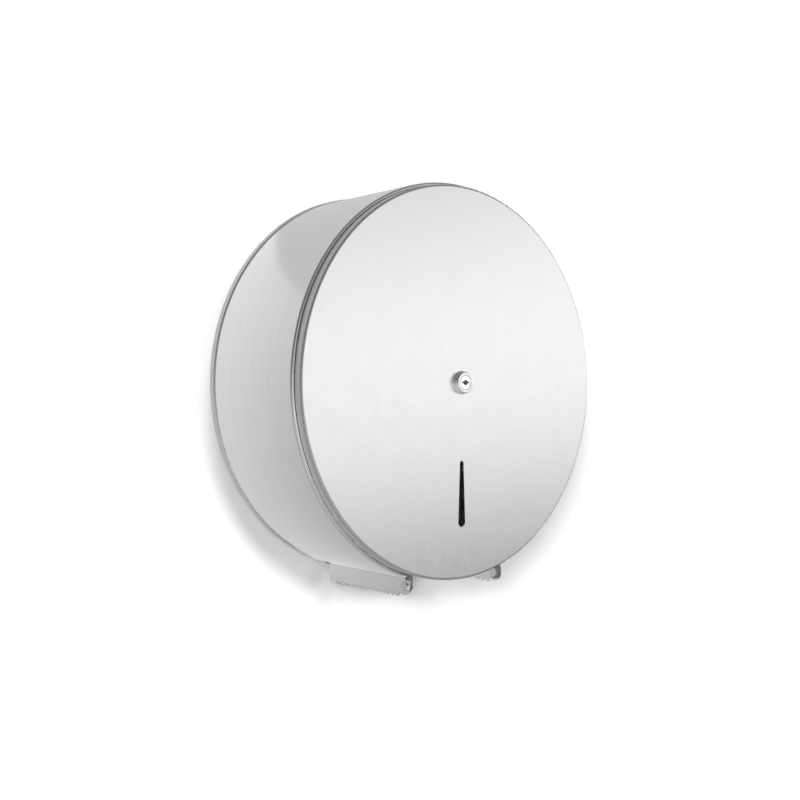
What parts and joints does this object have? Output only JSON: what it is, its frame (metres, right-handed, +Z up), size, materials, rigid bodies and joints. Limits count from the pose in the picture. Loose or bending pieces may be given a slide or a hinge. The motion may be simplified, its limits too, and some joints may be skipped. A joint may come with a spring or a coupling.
{
  "type": "jumbo toilet roll dispenser",
  "caption": "Round wall-mounted steel dispenser for a jumbo toilet roll, with a key-locked cover hinged at the bottom, a level slot and serrated tear edges.",
  "frame": {"origin": "centre of the dispenser's rear face, on the wall and on the drum's axis", "axes": "+Y into the wall along the drum's axis, so the cover faces -Y; +X to the right as seen from the front; +Z up"},
  "size_m": [0.3068, 0.1154, 0.3128],
  "materials": {
    "satin_steel_back": "satin stainless sheet",
    "satin_steel_drum": "satin stainless sheet, grain round the drum",
    "satin_steel_cover": "fine satin stainless sheet, grain up and down",
    "zinc_steel": "zinc plated, dull",
    "rivet_steel": "as headed",
    "spindle_steel": "bright drawn tube",
    "washer_steel": "plain stainless washer",
    "dark_screw": "black oxide",
    "pin_steel": "headed stainless pin",
    "ear_steel": "dull stainless strip",
    "grey_plastic": "moulded acetal",
    "hub_plastic": "moulded, fine grain",
    "lock_nickel": "nickel plated, satin",
    "nut_nickel": "nickel plated",
    "plug_nickel": "nickel plated, bright"
  },
  "bodies": {
    "case": {"back_plate": "satin_steel_back", "drum_band": "satin_steel_drum", "spindle_flange": "zinc_steel", "spindle_rivets": "rivet_steel", "spindle_tube": "spindle_steel", "thrust_washer_rear": "washer_steel", "thrust_washer_front": "washer_steel", "lock_keeper": "zinc_steel", "keeper_grub_screw": "dark_screw", "hinge_pin_left": "pin_steel", "hinge_pin_right": "pin_steel", "hinge_washers": "grey_plastic"},
    "hub": {"core_hub": "hub_plastic", "bush_rear": "grey_plastic", "bush_front": "grey_plastic"},
    "cover": {"cover_shell": "satin_steel_cover", "lock_plate": "zinc_steel", "hinge_ear_left": "ear_steel", "hinge_ear_right": "ear_steel", "lock_body": "lock_nickel", "lock_washer": "washer_steel", "lock_nut": "nut_nickel"},
    "plug": {"lock_plug": "plug_nickel", "lock_cam": "zinc_steel", "cam_screw": "dark_screw"}
  },
  "joints": [
    {"name": "cover_hinge", "type": "hinge", "parent": "case", "child": "cover", "pos_m": [0, -0.1007, -0.15048], "axis": [1, 0, 0], "range_deg": [0, 170]},
    {"name": "lock_turn", "type": "hinge", "parent": "cover", "child": "plug", "pos_m": [0, -0.111, 0], "axis": [0, 1, 0], "range_deg": [0, 90]},
    {"name": "hub_spin", "type": "hinge", "parent": "case", "child": "hub", "pos_m": [0, -0.04, 0], "axis": [0, 1, 0], "continuous": true}
  ]
}
